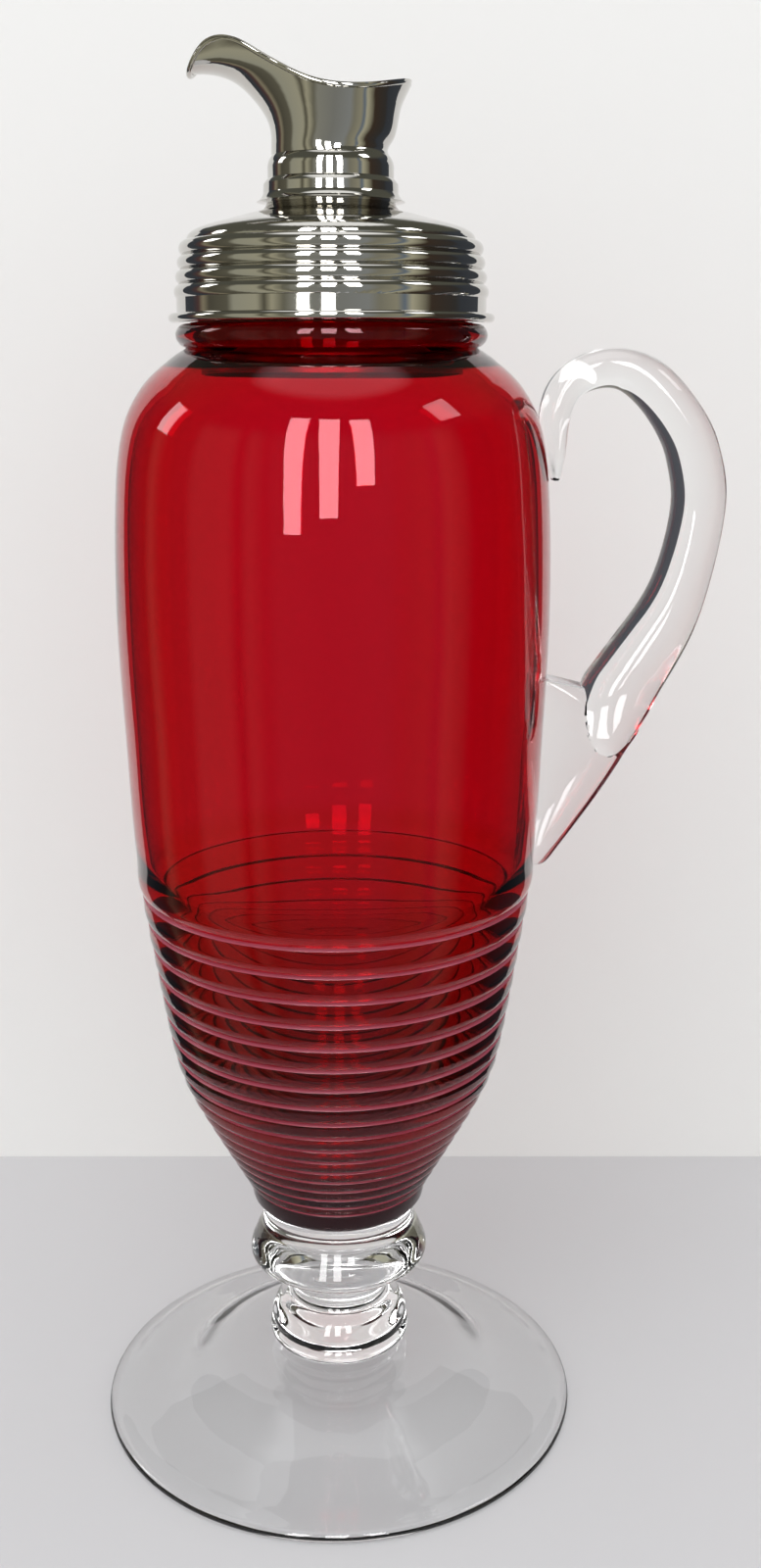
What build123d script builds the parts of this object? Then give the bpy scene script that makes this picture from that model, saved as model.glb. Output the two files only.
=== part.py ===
from build123d import *
import os
from math import cos, hypot, pi, sin, sqrt

# A footed glass cocktail shaker: a red glass bowl with a clear handle, stem and foot,
# and a spun metal top with a pouring spout that plugs into the neck.
# Sizes are in millimetres. The origin is the centre of the foot's resting ring and +Z is up.
# The handle is on the +X side and the spout points to -X.

# Foot
foot_radius = 64.3
foot_height = 18.6
foot_rim = 3.0
foot_wall = 3.5
foot_rest_width = 5.5
foot_crown_radius = 29.7
foot_crown_drop = 2.4

# Stem
stem_neck_radius = 13.0
stem_neck_below = 2.0
stem_neck_above = 3.0
lower_knop_height = 16.4
lower_knop_radius = 18.5
lower_knop_ring_overhang = 0.55
lower_knop_ring_height = 3.6
lower_knop_seat_inset = 2.0
upper_knop_height = 25.5
upper_knop_radius = 24.1

# Ringed taper of the bowl
bowl_base_radius = 20.6
taper_height = 88.9
taper_cone_slope = 0.54
taper_wall_slope = 0.145
taper_knee = 1.3
taper_wall = 4.4
bowl_floor = 4.5
ring_count = 18
ring_pitch_ratio = 0.947
base_band_height = 5.8
ring_depth = 0.8
ring_ledge_rise = 0.3

# Smooth wall, shoulder and neck of the bowl
body_radius = 53.4
body_swell = 3.55
body_wall = 3.2
wall_height = 102.1
shoulder_height = 32.3
neck_radius = 34.7
neck_wall = 3.0
bead_overhang = 2.35
bead_height = 5.4
bore_chamfer = 0.7

# Handle
handle_reach = 42.5
handle_depth = 13.6

# Points round each closed section of the handle and the spout
section_points = 16

# Seal and sleeve in the neck
seal_clearance = 0.1
seal_thickness = 2.2
seal_height = 7.5
sleeve_wall = 0.9
sleeve_lip_clearance = 0.4
sleeve_lip_height = 5.0
sleeve_lip_depth = 11.6
sleeve_flange_clearance = 0.2

# Metal cover
rest_gap = 0.3
cover_wall = 0.9
flange_overhang = 2.0
flange_height = 2.1
collar_step = 1.9
collar_band_height = 3.4
collar_ring_count = 4
collar_ring_pitch = 3.2
collar_ring_swell = 0.5
collar_ring_taper = 0.45
collar_ring_depth = 1.2
dome_step = 0.3
dome_height = 8.1
dome_neck_step = 1.3

# Strainer
strainer_thickness = 0.8
strainer_drop = 1.3
strainer_hole_radius = 1.4
strainer_hole_margin = 2.4
strainer_ring_count = 4

# Spout
spout_base_height = 10.4
spout_base_overhang = 3.6
spout_waist_radius = 13.7
spout_wall = 0.9

# Heights above the table that follow from the sizes above
lower_knop_top = foot_height + lower_knop_height
bowl_base = lower_knop_top + upper_knop_height
taper_top = bowl_base + taper_height
shoulder_base = taper_top + wall_height
neck_base = shoulder_base + shoulder_height
rim_top = neck_base + bead_height
cover_base = rim_top + rest_gap
collar_rings_base = cover_base + flange_height + collar_band_height
dome_base = collar_rings_base + collar_ring_count * collar_ring_pitch + rest_gap
cover_top = dome_base + dome_height
spout_bottom = cover_top + spout_base_height
lip_bottom = rim_top - sleeve_lip_depth
lip_top = lip_bottom + sleeve_lip_height
strainer_top = dome_base - strainer_drop
strainer_bottom = strainer_top - strainer_thickness

# Radii that follow from the sizes above
lower_knop_ring_radius = lower_knop_radius + lower_knop_ring_overhang
taper_top_radius = body_radius - body_swell
neck_bore_radius = neck_radius - neck_wall
bead_radius = neck_radius + bead_overhang
seal_outer_radius = neck_bore_radius - seal_clearance
seal_inner_radius = seal_outer_radius - seal_thickness
sleeve_radius = seal_inner_radius - seal_clearance
sleeve_bore_radius = sleeve_radius - sleeve_wall
sleeve_lip_radius = neck_bore_radius - sleeve_lip_clearance
collar_radius = neck_radius + collar_step
collar_bore_radius = neck_bore_radius + collar_step
collar_ring_crest = collar_radius + collar_ring_swell
sleeve_flange_radius = collar_bore_radius - sleeve_flange_clearance
flange_radius = collar_radius + flange_overhang
dome_radius = collar_bore_radius + dome_step
dome_neck_radius = spout_waist_radius + dome_neck_step
spout_base_radius = spout_waist_radius + spout_base_overhang
spout_passage_radius = spout_waist_radius - spout_wall


def turned(*edges):
    """Solid of revolution about the vertical axis, from edges drawn as radius and height."""
    return revolve(Plane.XZ * make_face(Curve() + list(edges)), Axis.Z)


def inset(points, wall):
    """Copy of an outline that climbs, moved inwards by a wall thickness."""
    moved = []
    for i, (r, z) in enumerate(points):
        r0, z0 = points[max(i - 1, 0)]
        r1, z1 = points[min(i + 1, len(points) - 1)]
        length = hypot(r1 - r0, z1 - z0)
        moved.append((r - wall * (z1 - z0) / length, z + wall * (r1 - r0) / length))
    return moved


def taper_radius(z):
    """Radius of the ringed taper: a cone that rounds into a near upright wall."""
    cone = bowl_base_radius + taper_cone_slope * (z - bowl_base)
    wall = taper_top_radius - taper_wall_slope * (taper_top - z)
    return (cone + wall) / 2 - sqrt(((cone - wall) / 2) ** 2 + taper_knee**2)


def ring_corners():
    """Top corners of the rings, from the highest down, each a little closer than the last."""
    gaps = ring_count - 1
    run = taper_height - base_band_height
    pitch = run * (1 - ring_pitch_ratio) / (1 - ring_pitch_ratio**gaps)
    corners = []
    z = taper_top
    for i in range(ring_count):
        corners.append((taper_radius(z), z))
        z -= pitch * ring_pitch_ratio**i
    return corners


def groove_above(corner):
    """Bottom of the groove just above a ring's top corner."""
    return corner[0] - ring_depth, corner[1] + ring_ledge_rise


def ring_edges(corner, end):
    """A near upright land, then a round turn inwards to the point given."""
    land = (corner[0] - 0.12 * (corner[0] - end[0]), corner[1] - 0.58 * (corner[1] - end[1]))
    down = (land[0] - corner[0], land[1] - corner[1])
    return [Line(corner, land), TangentArc(land, end, tangent=down)]


def upper_wall():
    """Points of the smooth outer wall, from just above the rings to the foot of the neck."""
    across = body_radius - 1 - neck_radius
    return [
        (taper_top_radius + 1.05, taper_top + 0.1 * wall_height),
        (body_radius - 1, taper_top + 0.4 * wall_height),
        (body_radius, taper_top + 0.7 * wall_height),
        (body_radius - 1, shoulder_base),
        (neck_radius + 0.86 * across, shoulder_base + 0.46 * shoulder_height),
        (neck_radius + 0.59 * across, shoulder_base + 0.735 * shoulder_height),
        (neck_radius + 0.2 * across, shoulder_base + 0.93 * shoulder_height),
        (neck_radius, neck_base),
    ]


def bowl_outside():
    """Edges of the bowl's outer outline, from the middle of its base to the top of the rim."""
    corners = ring_corners()
    wall = upper_wall()
    first_groove = groove_above(corners[0])
    edges = [Line((0, bowl_base), (bowl_base_radius, bowl_base))]
    edges += ring_edges(corners[-1], (bowl_base_radius, bowl_base))
    for upper, lower in zip(corners, corners[1:]):
        edges += ring_edges(upper, groove_above(lower))
    for corner in corners:
        edges.append(Line(groove_above(corner), corner))
    slope = (wall[0][0] - wall[1][0], wall[0][1] - wall[1][1])
    edges.append(TangentArc(wall[0], first_groove, tangent=slope))
    edges.append(Spline(*wall))
    crest = (bead_radius, neck_base + bead_height / 2)
    rim = (neck_radius + 0.4, rim_top)
    edges.append(ThreePointArc(wall[-1], crest, rim))
    return edges, rim


def bowl_inside():
    """Edges of the bowl's inner outline, from the rim down to the middle of its floor."""
    floor = bowl_base + bowl_floor
    low = floor + 2 * bowl_floor
    steps = 6
    heights = [low + (taper_top - low) * i / steps for i in range(steps + 1)]
    points = [(taper_radius(z) - taper_wall, z) for z in heights]
    points += inset(upper_wall(), body_wall)[:-1]
    points.append((neck_bore_radius, neck_base - body_wall))
    middle = (points[0][0] - 2 * bowl_floor, floor)
    return [
        Line((neck_bore_radius + bore_chamfer, rim_top), (neck_bore_radius, rim_top - bore_chamfer)),
        Line((neck_bore_radius, rim_top - bore_chamfer), points[-1]),
        Spline(*points),
        TangentArc(middle, points[0], tangent=(1, 0)),
        Line(middle, (0, floor)),
        Line((0, floor), (0, bowl_base)),
    ]


def make_ruby_body():
    """Hollow bowl with its rings, shoulder, neck and bead."""
    outside, rim = bowl_outside()
    lip = Line(rim, (neck_bore_radius + bore_chamfer, rim_top))
    return turned(*outside, lip, *bowl_inside())


def bowl_block():
    """The bowl's outer shape as one solid, for cutting what is pressed against it."""
    outside, rim = bowl_outside()
    return turned(*outside, Line(rim, (0, rim_top)), Line((0, rim_top), (0, bowl_base)))


def make_upper_knop():
    """Solid knop fused under the bowl."""
    neck = (stem_neck_radius, lower_knop_top + stem_neck_above)
    flare = (stem_neck_radius + 3, neck[1] + 0.12 * upper_knop_height)
    under = (upper_knop_radius - 2, lower_knop_top + 0.31 * upper_knop_height)
    widest = (upper_knop_radius, lower_knop_top + 0.4 * upper_knop_height)
    over = (upper_knop_radius - 1.6, lower_knop_top + 0.6 * upper_knop_height)
    waist = (bowl_base_radius + 0.2, lower_knop_top + 0.76 * upper_knop_height)
    top = (bowl_base_radius - 0.3, bowl_base - 2.5)
    return turned(
        Line((0, lower_knop_top), (stem_neck_radius, lower_knop_top)),
        Line((stem_neck_radius, lower_knop_top), neck),
        Spline(neck, flare, under, widest, over, waist, top, tangents=[(0, 1), (0, 1)]),
        Line(top, (bowl_base_radius, bowl_base)),
        Line((bowl_base_radius, bowl_base), (0, bowl_base)),
        Line((0, bowl_base), (0, lower_knop_top)),
    )


def make_lower_knop():
    """Smaller solid knop with a stepped ring at its base."""
    seat = (lower_knop_ring_radius - lower_knop_seat_inset, foot_height)
    ring = (lower_knop_ring_radius, foot_height + 0.56 * lower_knop_ring_height)
    ring_top = (lower_knop_ring_radius - 0.1, foot_height + lower_knop_ring_height)
    step = (lower_knop_radius - 0.2, foot_height + 1.17 * lower_knop_ring_height)
    neck = (stem_neck_radius, lower_knop_top - stem_neck_below)
    return turned(
        Line((0, foot_height), seat),
        ThreePointArc(seat, (ring[0] - 0.5, foot_height + 0.2 * lower_knop_ring_height), ring),
        Line(ring, ring_top),
        Line(ring_top, step),
        Spline(
            step,
            (lower_knop_radius, foot_height + 0.4 * lower_knop_height),
            (lower_knop_radius - 1.8, foot_height + 0.66 * lower_knop_height),
            (stem_neck_radius + 0.8, foot_height + 0.79 * lower_knop_height),
            neck,
        ),
        Line(neck, (stem_neck_radius, lower_knop_top)),
        Line((stem_neck_radius, lower_knop_top), (0, lower_knop_top)),
        Line((0, lower_knop_top), (0, foot_height)),
    )


def make_foot():
    """Wide foot, domed above and hollow below, resting on a narrow ring."""
    seat = (lower_knop_ring_radius - lower_knop_seat_inset, foot_height)
    crown = (foot_crown_radius, foot_height - foot_crown_drop)
    span = foot_radius - foot_crown_radius
    fall = crown[1] - foot_rim
    middle = (crown[0] + 0.45 * span, crown[1] - 0.53 * fall)
    skirt = (crown[0] + 0.8 * span, crown[1] - 0.9 * fall)
    rim = (foot_radius - foot_rim / 2, foot_rim)
    rest = (foot_radius - foot_rim / 2, 0)
    rest_inside = (rest[0] - foot_rest_width, 0)
    return turned(
        Line((0, foot_height), seat),
        Spline(seat, crown, middle, skirt, rim),
        ThreePointArc(rim, (foot_radius, foot_rim / 2), rest),
        Line(rest, rest_inside),
        Spline(
            rest_inside,
            (middle[0] - 1, middle[1] - foot_wall),
            (crown[0] - 1, crown[1] - foot_wall),
            (0, foot_height - foot_wall),
            tangents=[(-1, 0.3), (-1, 0)],
        ),
        Line((0, foot_height - foot_wall), (0, foot_height)),
    )


# The handle's sections, from the curled tip on the shoulder to the gather low on the bowl.
# Each gives the inner edge and the outer edge as shares of the handle's reach from the bowl and
# of the height from the rings to the neck, then the half depth as a share of the handle's depth.
handle_sections = [
    ((0.04, 0.766), (-0.01, 0.768), 0.12),
    ((0.07, 0.815), (-0.05, 0.815), 0.34),
    ((0.09, 0.875), (-0.09, 0.886), 0.43),
    ((0.146, 0.914), (-0.02, 0.95), 0.42),
    ((0.238, 0.929), (0.167, 0.992), 0.4),
    ((0.355, 0.928), (0.391, 1.0), 0.4),
    ((0.473, 0.899), (0.614, 0.979), 0.43),
    ((0.584, 0.851), (0.821, 0.929), 0.46),
    ((0.682, 0.715), (1.0, 0.73), 0.5),
    ((0.576, 0.58), (0.885, 0.514), 0.55),
    ((0.315, 0.442), (0.572, 0.304), 0.64),
    ((-0.01, 0.395), (0.03, 0.042), 0.64),
    ((-0.18, 0.385), (-0.2, 0.004), 0.6),
]


def handle_point(reach_share, height_share):
    """A point beside the bowl, in the plane through the handle and the spout."""
    height = taper_top + height_share * (neck_base - taper_top)
    return Vector(body_radius + reach_share * handle_reach, 0, height)


def egg(a, b, half_width, narrowing=0.0, wall=0.0):
    """Closed section from a to b, upright across the plane of the handle and the spout.

    It narrows towards b, and is drawn in all round by a wall thickness.
    """
    half_length = (b - a).length / 2 - wall
    forward = (b - a).normalized()
    places = [i / section_points for i in range(section_points + 1)]
    points = []
    for place in places[:-1]:
        angle = 2 * pi * place
        across = (half_width - wall) * sin(angle) * (1 - narrowing * cos(angle))
        points.append((a + b) / 2 + forward * half_length * cos(angle) + Vector(0, across, 0))
    return Face(Wire(Edge.make_spline(points, periodic=True, parameters=places)))


def make_handle():
    """Drawn glass rod with oval sections, trimmed where it is pressed on the bowl."""
    ovals = []
    for inner, outer, half_depth in handle_sections:
        ovals.append(egg(handle_point(*inner), handle_point(*outer), half_depth * handle_depth))
    return loft(ovals) - bowl_block()


def collar_edges():
    """Half round rings up the outside of the cover's collar, each smaller than the one below."""
    edges = []
    start = (collar_radius, collar_rings_base)
    for i in range(collar_ring_count):
        crest = collar_ring_crest - i * collar_ring_taper
        middle = (crest, collar_rings_base + (i + 0.5) * collar_ring_pitch)
        end = (crest - collar_ring_depth, collar_rings_base + (i + 1) * collar_ring_pitch)
        edges.append(ThreePointArc(start, middle, end))
        start = end
    return edges, start


def make_cover():
    """Spun metal dome with a ringed collar, a rolled flange and a short neck for the spout."""
    rings, ring_end = collar_edges()
    flange_neck = flange_radius - flange_height / 2
    flange_low = (flange_neck, cover_base)
    flange_high = (flange_neck, cover_base + flange_height)
    flange_tip = (flange_radius, cover_base + flange_height / 2)
    band_low = (collar_radius, cover_base + flange_height)
    dome = [
        (dome_radius, dome_base),
        (dome_radius - 0.3, dome_base + 0.1 * dome_height),
        (dome_radius - 2.6, dome_base + 0.3 * dome_height),
        (0.53 * dome_radius + 0.47 * dome_neck_radius, dome_base + 0.52 * dome_height),
        (dome_neck_radius + 3.6, dome_base + 0.73 * dome_height),
        (dome_neck_radius + 0.2, dome_base + 0.93 * dome_height),
        (dome_neck_radius, cover_top),
    ]
    under = inset(dome, cover_wall)[2:-1]
    bore = (spout_passage_radius, cover_top)
    bore_low = (spout_passage_radius, cover_top - 2 * cover_wall)
    ledge = (under[0][0] + 0.3, strainer_top)
    return turned(
        Line((collar_bore_radius, cover_base), flange_low),
        ThreePointArc(flange_low, flange_tip, flange_high),
        Line(flange_high, band_low),
        Line(band_low, (collar_radius, collar_rings_base)),
        *rings,
        Line(ring_end, (dome_radius, dome_base - rest_gap)),
        Line((dome_radius, dome_base - rest_gap), dome[0]),
        Spline(*dome),
        Line(dome[-1], bore),
        Line(bore, bore_low),
        Line(bore_low, under[-1]),
        Spline(*under),
        Line(under[0], ledge),
        Line(ledge, (collar_bore_radius, strainer_top)),
        Line((collar_bore_radius, strainer_top), (collar_bore_radius, cover_base)),
    )


def make_spout_base():
    """Stepped ring between the cover's neck and the spout, with a sharp overhanging skirt."""
    tip = (spout_base_radius, cover_top + 0.03 * spout_base_height)
    step = (spout_base_radius - 1.5, cover_top + 0.21 * spout_base_height)
    step_top = (spout_base_radius - 1.6, cover_top + 0.4 * spout_base_height)
    hollow = (spout_waist_radius + 1.5, cover_top + 0.47 * spout_base_height)
    band = (spout_waist_radius + 1, cover_top + 0.52 * spout_base_height)
    band_top = (spout_waist_radius + 1, cover_top + 0.77 * spout_base_height)
    throat = (spout_waist_radius + 0.8, cover_top + 0.865 * spout_base_height)
    waist = (spout_waist_radius, spout_bottom)
    inside = (spout_passage_radius, cover_top)
    inside_top = (spout_passage_radius, spout_bottom)
    seat = (dome_neck_radius + 0.4, cover_top)
    return turned(
        Line(inside, seat),
        Line(seat, tip),
        RadiusArc(tip, step, 3.5),
        Line(step, step_top),
        ThreePointArc(step_top, hollow, band),
        Line(band, band_top),
        ThreePointArc(band_top, throat, waist),
        Line(waist, inside_top),
        Line(inside_top, inside),
    )


# The spout's sections fan from level at the waist to steep at the lip.
# Each gives how far the rear and the front stand outside the waist and above it,
# how much wider than the waist the half width is, and how far the front narrows.
spout_sections = [
    ((0, 0), (0, 0), 0, 0),
    ((0.6, 3.2), (0, 3.8), 0.1, 0),
    ((1.9, 7.0), (1.0, 8.0), 0.9, 0.03),
    ((3.0, 11.4), (3.9, 12.1), 2.1, 0.1),
    ((5.2, 16.6), (8.3, 15.9), 3.5, 0.2),
    ((3.4, 24.0), (13.4, 17.6), 2.8, 0.27),
    ((-3.4, 31.5), (17.4, 17.7), 1.3, 0.32),
    ((-12.0, 37.5), (20.8, 17.2), -0.7, 0.34),
    ((-21.5, 41.5), (24.8, 16.8), -2.7, 0.34),
    ((-30.0, 43.5), (28.8, 16.4), -4.2, 0.34),
]

# The rim's line seen from the side, from the rear to the tip of the lip,
# as distance in front of the axis beyond the waist's radius and height above the waist.
rim_line = [
    (-36.0, 17.2),
    (-31.0, 15.6),
    (-25.5, 14.1),
    (-20.0, 13.5),
    (-14.0, 13.8),
    (-8.5, 15.2),
    (-3.0, 17.8),
    (2.5, 20.9),
    (7.2, 23.5),
    (11.0, 24.2),
    (14.0, 23.4),
    (16.4, 21.3),
    (18.6, 18.0),
    (19.8, 14.6),
]


def spout_section(rear, front, widening, narrowing, wall):
    """One section of the spout, outside it or drawn in by its wall."""
    a = Vector(spout_waist_radius + rear[0], 0, spout_bottom + rear[1])
    b = Vector(-spout_waist_radius - front[0], 0, spout_bottom + front[1])
    return egg(a, b, spout_waist_radius + widening, narrowing, wall)


def make_spout():
    """Flared metal spout, trimmed along the rim's line."""
    outside = loft([spout_section(*section, 0) for section in spout_sections])
    inside = loft([spout_section(*section, spout_wall) for section in spout_sections])
    line = [(-spout_waist_radius - x, spout_bottom + z) for x, z in rim_line]
    tip = line[-1]
    high = spout_bottom + 80
    far = tip[0] - 40
    above = make_face(
        Curve()
        + [
            Spline(*line),
            Line(tip, (tip[0], spout_bottom)),
            Line((tip[0], spout_bottom), (far, spout_bottom)),
            Line((far, spout_bottom), (far, high)),
            Line((far, high), (line[0][0], high)),
            Line((line[0][0], high), line[0]),
        ]
    )
    trim = extrude(Plane.XZ * above, amount=2 * spout_waist_radius, both=True)
    return outside - inside - trim


def make_inner_sleeve():
    """Metal tube that plugs the neck, with a flange above and a lip that keeps the seal on."""
    lip_inside = sleeve_lip_radius - sleeve_wall
    flange_bottom = strainer_bottom - sleeve_wall
    return turned(
        Line((lip_inside, lip_bottom), (sleeve_lip_radius, lip_bottom)),
        Line((sleeve_lip_radius, lip_bottom), (sleeve_lip_radius, lip_top)),
        Line((sleeve_lip_radius, lip_top), (sleeve_radius, lip_top)),
        Line((sleeve_radius, lip_top), (sleeve_radius, flange_bottom)),
        Line((sleeve_radius, flange_bottom), (sleeve_flange_radius, flange_bottom)),
        Line((sleeve_flange_radius, flange_bottom), (sleeve_flange_radius, strainer_bottom)),
        Line((sleeve_flange_radius, strainer_bottom), (sleeve_bore_radius, strainer_bottom)),
        Line((sleeve_bore_radius, strainer_bottom), (sleeve_bore_radius, lip_top + sleeve_wall)),
        Line((sleeve_bore_radius, lip_top + sleeve_wall), (lip_inside, lip_top - sleeve_wall)),
        Line((lip_inside, lip_top - sleeve_wall), (lip_inside, lip_bottom)),
    )


def make_cork_seal():
    """Ring that grips the neck's bore, just above the sleeve's lip."""
    low = lip_top + rest_gap
    ring = Cylinder(seal_outer_radius, seal_height) - Cylinder(seal_inner_radius, seal_height)
    return Pos(0, 0, low + seal_height / 2) * ring


def make_strainer():
    """Perforated disc held between the sleeve's flange and the cover."""
    hole = Cylinder(strainer_hole_radius, 2 * strainer_thickness)
    spacing = (sleeve_bore_radius - strainer_hole_margin) / strainer_ring_count
    holes = [hole]
    for ring in range(1, strainer_ring_count + 1):
        holes += [place * hole for place in PolarLocations(ring * spacing, 6 * ring)]
    disc = Cylinder(sleeve_flange_radius, strainer_thickness) - holes
    return Pos(0, 0, strainer_bottom + strainer_thickness / 2) * disc


parts = {
    "foot": make_foot,
    "lower_knop": make_lower_knop,
    "upper_knop": make_upper_knop,
    "ruby_body": make_ruby_body,
    "handle": make_handle,
    "cork_seal": make_cork_seal,
    "inner_sleeve": make_inner_sleeve,
    "strainer": make_strainer,
    "cover": make_cover,
    "spout_base": make_spout_base,
    "spout": make_spout,
}

os.makedirs("parts", exist_ok=True)
for name, make in parts.items():
    export_step(make(), f"parts/{name}.step")
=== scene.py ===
from math import atan2, cos, hypot, pi, radians, sin, sqrt

import bmesh
import bpy
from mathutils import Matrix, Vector
from mathutils.geometry import interpolate_bezier


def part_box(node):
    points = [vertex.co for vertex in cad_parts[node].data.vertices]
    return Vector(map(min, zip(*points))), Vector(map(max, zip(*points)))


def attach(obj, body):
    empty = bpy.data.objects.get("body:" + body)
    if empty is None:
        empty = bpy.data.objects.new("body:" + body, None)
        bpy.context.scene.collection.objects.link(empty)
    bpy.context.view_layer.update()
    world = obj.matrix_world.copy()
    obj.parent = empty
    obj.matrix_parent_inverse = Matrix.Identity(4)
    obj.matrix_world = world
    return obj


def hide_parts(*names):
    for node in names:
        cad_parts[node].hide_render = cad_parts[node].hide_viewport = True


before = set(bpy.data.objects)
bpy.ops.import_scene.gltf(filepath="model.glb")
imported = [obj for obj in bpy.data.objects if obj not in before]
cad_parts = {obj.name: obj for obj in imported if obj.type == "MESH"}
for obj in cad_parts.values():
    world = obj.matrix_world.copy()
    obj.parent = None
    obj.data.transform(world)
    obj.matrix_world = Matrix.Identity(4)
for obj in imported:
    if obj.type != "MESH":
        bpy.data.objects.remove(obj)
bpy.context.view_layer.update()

# The looks of a footed glass cocktail shaker: a red bowl with a clear handle, stem and foot,
# and a bright plated top with a pouring spout.

bl_info = {
    "name": "Footed glass shaker",
    "version": (1, 0, 0),
    "blender": (4, 5, 0),
    "location": "3D View > Sidebar > Shaker",
    "description": "Builds the glass, the plated top and the stage of a footed cocktail shaker",
    "category": "Object",
}

MM = 0.001


def low(node):
    """Lowest height of a CAD node, in millimetres."""
    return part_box(node)[0].z / MM


def high(node):
    """Highest height of a CAD node, in millimetres."""
    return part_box(node)[1].z / MM


def reach(node):
    """How far a CAD node reaches along +X, in millimetres."""
    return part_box(node)[1].x / MM


# Sizes in millimetres, read from the parts of model.glb
foot_radius = reach("foot") - 0.03
foot_height = high("foot")
lower_knop_top = high("lower_knop")
bowl_base = low("ruby_body")
body_radius = reach("ruby_body")
rim_top = high("ruby_body")
handle_tip = reach("handle")

# Heights of the bowl's parts, in millimetres
taper_top = bowl_base + 88.9
neck_base = rim_top - 5.4
shoulder_base = neck_base - 32.3
wall_height = shoulder_base - taper_top

# Faces round each turned piece, and how near two points are merged, in metres
SEGMENTS = 160
MERGE = 0.001 * MM

# Glass bends light by about half as much again as air
GLASS_IOR = 1.5

# Share of the light that the shadows of red and of clear glass let through
RUBY_SHADOW = 0.9
CLEAR_SHADOW = 0.95


class GlassSettings(bpy.types.PropertyGroup):
    """Sizes and colours of the glass."""

    ring_count: bpy.props.IntProperty(
        name="Rings", description="Pressed rings round the taper of the bowl", default=18, min=2
    )
    ring_depth: bpy.props.FloatProperty(
        name="Ring depth",
        description="How far each ring's top corner stands out of the groove above it",
        default=0.8 * MM,
        unit="LENGTH",
    )
    wall: bpy.props.FloatProperty(
        name="Wall", description="Thickness of the bowl's smooth wall", default=3.2 * MM, unit="LENGTH"
    )
    taper_wall: bpy.props.FloatProperty(
        name="Taper wall", description="Thickness of the bowl's ringed taper", default=4.4 * MM, unit="LENGTH"
    )
    fused: bpy.props.FloatProperty(
        name="Fused depth",
        description="How deep the clear glass sits in the red, so that light passes where they are fused",
        default=0.08 * MM,
        unit="LENGTH",
    )
    red: bpy.props.FloatVectorProperty(
        name="Red kept", description="Share of red, green and blue light the ruby lets through",
        default=(0.922, 0.0, 0.36), size=3, subtype="COLOR", min=0, max=1,
    )
    # The ledge colour is a painted highlight, a pale pink for the light that the ledges catch
    ledge: bpy.props.StringProperty(
        name="Ledge", description="Colour of the dulled ledges of the rings, as sRGB hex", default="FF748F"
    )
    red_density: bpy.props.FloatProperty(
        name="Ruby strength", description="How strongly a metre of ruby glass takes the other colours", default=1020
    )


class MetalSettings(bpy.types.PropertyGroup):
    """Colours and finish of the plated top."""

    plate: bpy.props.StringProperty(
        name="Plate", description="Colour of the bright plating, as sRGB hex", default="C9C7C2"
    )
    polish: bpy.props.FloatProperty(
        name="Polish", description="Roughness of the polished plating", default=0.045, subtype="FACTOR"
    )
    bead: bpy.props.FloatProperty(
        name="Rim bead", description="Radius of the rolled bead round the spout's rim", default=0.65 * MM,
        unit="LENGTH",
    )


class StageSettings(bpy.types.PropertyGroup):
    """Colours and light of the stage."""

    floor: bpy.props.StringProperty(name="Floor", description="Colour of the floor, as sRGB hex", default="D2D2D4")
    card: bpy.props.StringProperty(
        name="Card", description="Colour of the card behind the object, as sRGB hex", default="F6F6F4"
    )
    card_distance: bpy.props.FloatProperty(
        name="Card distance", description="How far behind the object the card stands", default=0.134, unit="LENGTH"
    )
    window_glow: bpy.props.FloatProperty(
        name="Window glow", description="Brightness of the three tall soft lights, beside white", default=12.0
    )
    side_glow: bpy.props.FloatProperty(
        name="Side glow", description="Brightness of the two soft lights at the sides, beside white", default=5.0
    )
    key_glow: bpy.props.FloatProperty(
        name="Overhead glow", description="Brightness of the wide soft light overhead, beside white", default=1.6
    )
    room_glow: bpy.props.FloatProperty(
        name="Room light", description="Even light from all round, beside white", default=0.92
    )


def linear(hex_colour):
    """An sRGB hex colour as the linear values that shaders take."""
    shares = [int(hex_colour[i : i + 2], 16) / 255 for i in (0, 2, 4)]
    return [s / 12.92 if s <= 0.04045 else ((s + 0.055) / 1.055) ** 2.4 for s in shares] + [1]


def add(tree, kind, inputs=None, **settings):
    """Adds a shader node, with its settings and with what each input holds or is linked to."""
    node = tree.nodes.new("ShaderNode" + kind)
    for name, value in settings.items():
        setattr(node, name, value)
    for name, value in (inputs or {}).items():
        if isinstance(value, bpy.types.NodeSocket):
            tree.links.new(value, node.inputs[name])
        else:
            node.inputs[name].default_value = value
    return node


def new_material(name):
    """An empty node material and its node tree."""
    material = bpy.data.materials.new(name)
    material.use_nodes = True
    material.node_tree.nodes.clear()
    return material, material.node_tree


def blown_waves(tree, size, depth):
    """Slow waves that blowing and reheating leave in a glass surface, of a given size and depth in metres."""
    place = add(tree, "TexCoord").outputs["Object"]
    waves = add(tree, "TexNoise", {"Vector": place, "Scale": 1 / size, "Detail": 1.0, "Roughness": 0.4})
    return add(tree, "Bump", {"Height": waves.outputs["Fac"], "Strength": 1.0, "Distance": depth}).outputs["Normal"]


def let_lamps_through(tree, glass, share):
    """The glass, but clear to the rays that look for a lamp, so that its shadow is pale as glass's is."""
    path = add(tree, "LightPath")
    clear = add(tree, "BsdfTransparent", {"Color": (share, share, share, 1)})
    return add(tree, "MixShader", {0: path.outputs["Is Shadow Ray"], 1: glass.outputs[0], 2: clear.outputs[0]})


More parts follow.
